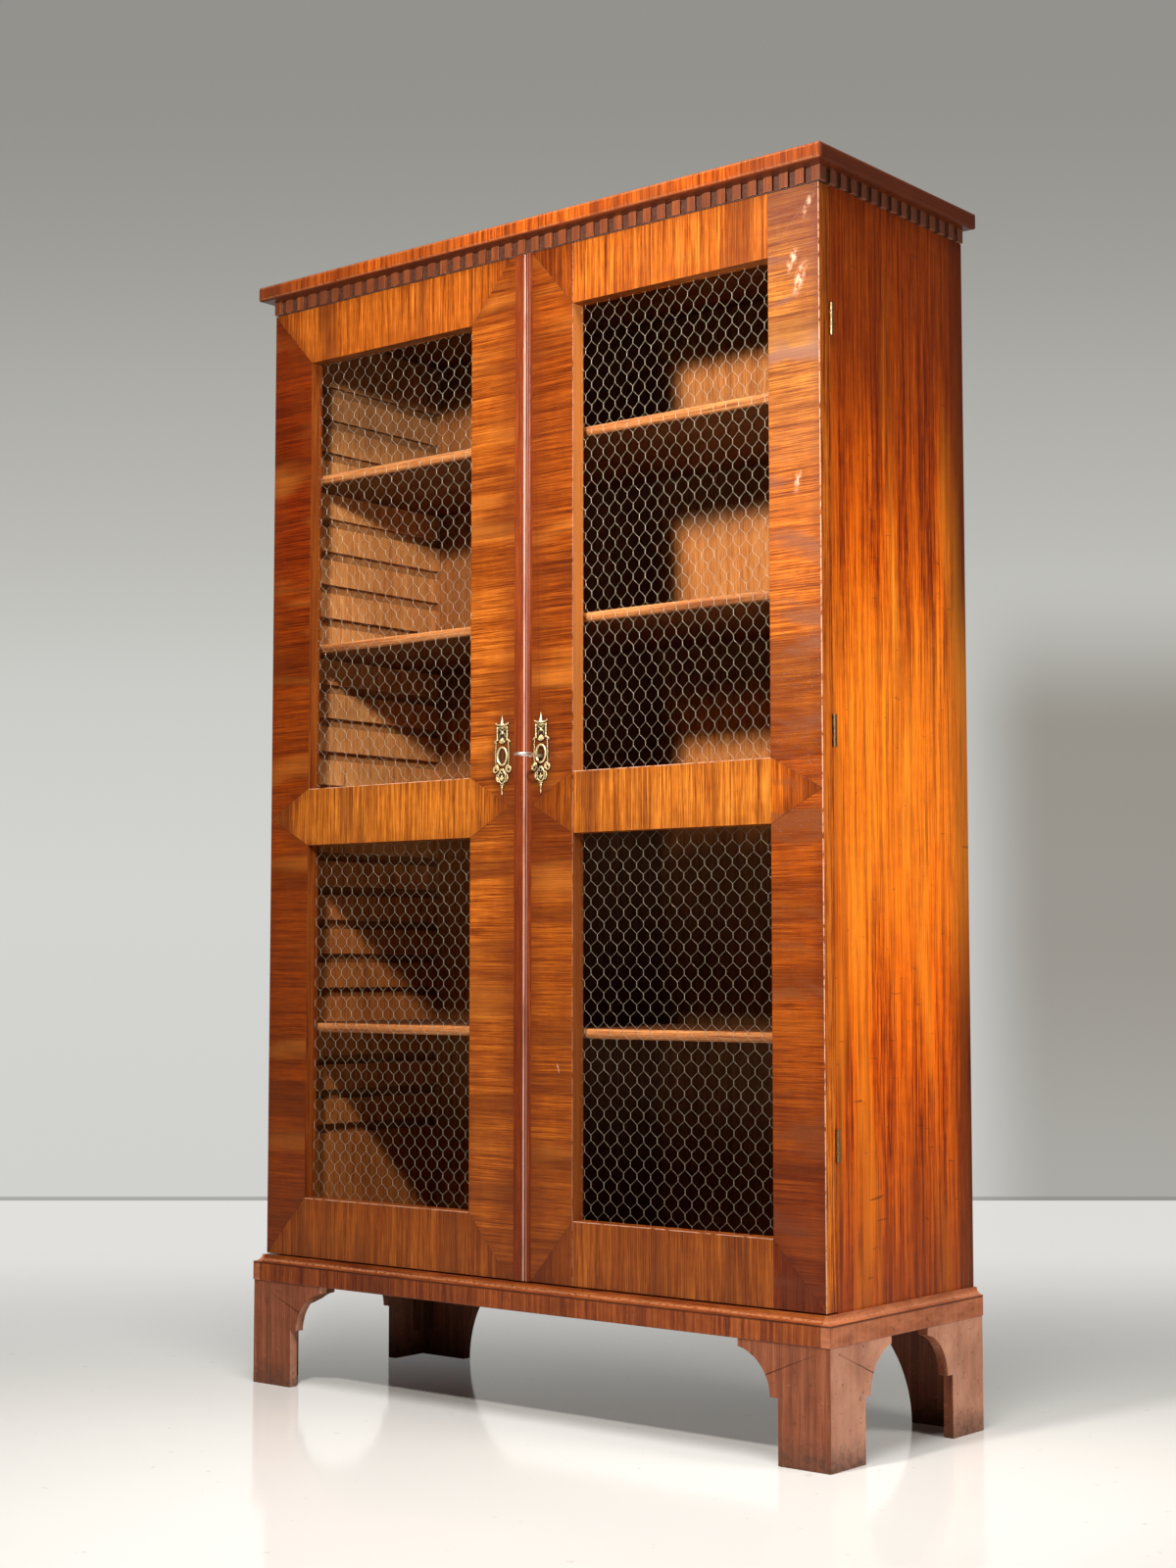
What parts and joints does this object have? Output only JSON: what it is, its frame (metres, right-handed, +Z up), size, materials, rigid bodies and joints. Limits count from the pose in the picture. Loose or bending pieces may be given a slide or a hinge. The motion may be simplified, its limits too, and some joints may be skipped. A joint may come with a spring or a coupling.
{
  "type": "display cabinet",
  "caption": "Tall two-door wooden bookcase cabinet with wire netting in the doors, adjustable shelves, a dentil cornice, a lock with key and bracket feet.",
  "frame": {"origin": "on the floor, under the centre of the cabinet's bounding box with its doors closed and the key in its lock", "axes": "+Z up, -Y towards the doors, +X to the right when facing the doors"},
  "size_m": [1.215, 0.4875, 1.94],
  "materials": {
    "mahogany": "shellac polish, worn",
    "veneer": "figured veneer, shellac polish",
    "inner_wood": "bare, aged",
    "wire": "drawn wire, dulled",
    "brass": "cast and polished, aged",
    "steel": "worn bright"
  },
  "bodies": {
    "cabinet": {"cornice_top": "mahogany", "dentil_front": "mahogany", "dentil_left": "mahogany", "dentil_right": "mahogany", "frieze_rail": "mahogany", "case_top": "inner_wood", "case_bottom": "inner_wood", "side_left": "inner_wood", "side_right": "inner_wood", "side_veneers": "veneer", "back_boards": "inner_wood", "shelf_top": "inner_wood", "shelf_upper": "inner_wood", "shelf_middle": "inner_wood", "shelf_lower": "inner_wood", "shelf_lippings": "mahogany", "base_cove": "mahogany", "base_fascia": "mahogany", "base_rail_back": "inner_wood", "foot_front_left": "mahogany", "foot_front_right": "mahogany", "foot_back_left": "mahogany", "foot_back_right": "mahogany", "glue_blocks": "inner_wood", "case_hinge_leaves": "brass", "hinge_pins": "brass"},
    "left_door": {"left_hinge_stile": "mahogany", "left_meeting_stile": "mahogany", "left_top_rail": "mahogany", "left_middle_rail": "mahogany", "left_bottom_rail": "mahogany", "left_veneers": "veneer", "left_upper_net": "wire", "left_lower_net": "wire", "left_net_beads": "mahogany", "left_meeting_strip": "mahogany", "left_escutcheon": "brass", "left_hinge_leaves": "brass", "strike_plate": "brass", "bolt_guides": "brass"},
    "upper_bolt": {"upper_bolt": "brass"},
    "lower_bolt": {"lower_bolt": "brass"},
    "right_door": {"right_hinge_stile": "mahogany", "right_meeting_stile": "mahogany", "right_top_rail": "mahogany", "right_middle_rail": "mahogany", "right_bottom_rail": "mahogany", "right_veneers": "veneer", "right_upper_net": "wire", "right_lower_net": "wire", "right_net_beads": "mahogany", "right_meeting_bead": "mahogany", "right_escutcheon": "brass", "right_hinge_leaves": "brass", "lock_case": "steel", "lock_cover": "steel"},
    "lock_bolt": {"lock_bolt": "brass"},
    "key": {"key": "steel"}
  },
  "joints": [
    {"name": "left_door_swing", "type": "hinge", "parent": "cabinet", "child": "left_door", "pos_m": [-0.5893, -0.1555, 1.067], "axis": [0, 0, -1], "range_deg": [0, 175]},
    {"name": "right_door_swing", "type": "hinge", "parent": "cabinet", "child": "right_door", "pos_m": [0.5893, -0.1555, 1.067], "axis": [0, 0, 1], "range_deg": [0, 175]},
    {"name": "upper_bolt_slide", "type": "slide", "parent": "left_door", "child": "upper_bolt", "axis": [0, 0, 1], "range_m": [0, 0.015]},
    {"name": "lower_bolt_slide", "type": "slide", "parent": "left_door", "child": "lower_bolt", "axis": [0, 0, -1], "range_m": [0, 0.015]},
    {"name": "key_turn", "type": "hinge", "parent": "right_door", "child": "key", "pos_m": [0.0447, -0.16005, 1.058], "axis": [0, 1, 0], "range_deg": [0, 180]},
    {"name": "lock_bolt_slide", "type": "slide", "parent": "right_door", "child": "lock_bolt", "axis": [-1, 0, 0], "range_m": [0, 0.01]}
  ],
  "couplings": [
    {"joint": "lock_bolt_slide", "follows": "key_turn", "m_per_rad": 0.00318}
  ]
}
